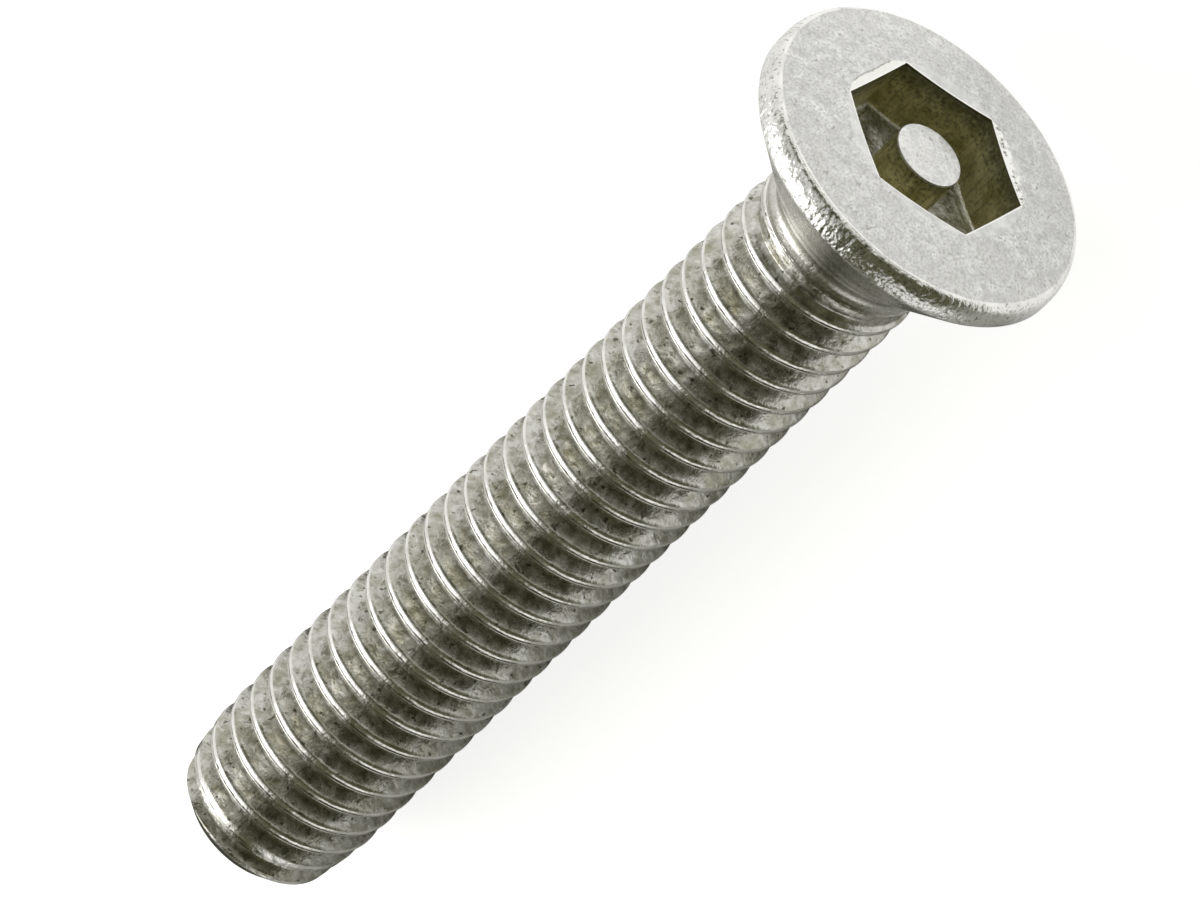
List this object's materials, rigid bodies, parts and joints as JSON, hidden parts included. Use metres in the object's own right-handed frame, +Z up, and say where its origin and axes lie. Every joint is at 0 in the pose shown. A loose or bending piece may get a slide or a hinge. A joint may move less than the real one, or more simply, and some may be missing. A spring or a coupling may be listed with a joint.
{
  "type": "pin hex security screw",
  "caption": "Countersunk machine screw with a crowned head, a hexagon socket with a security pin in it, and a full-length thread.",
  "frame": {"origin": "centre of the bounding box in X and Y, on the surface it lies on", "axes": "+X from the tip to the head, +Z up, with the screw lying on its side on the rim of its head and on its last crests; its axis rises by 4.7 degrees towards the head"},
  "size_m": [0.0352, 0.0108, 0.0109],
  "materials": {
    "steel": "satin"
  },
  "bodies": {
    "root": {"screw": "steel"}
  },
  "joints": []
}
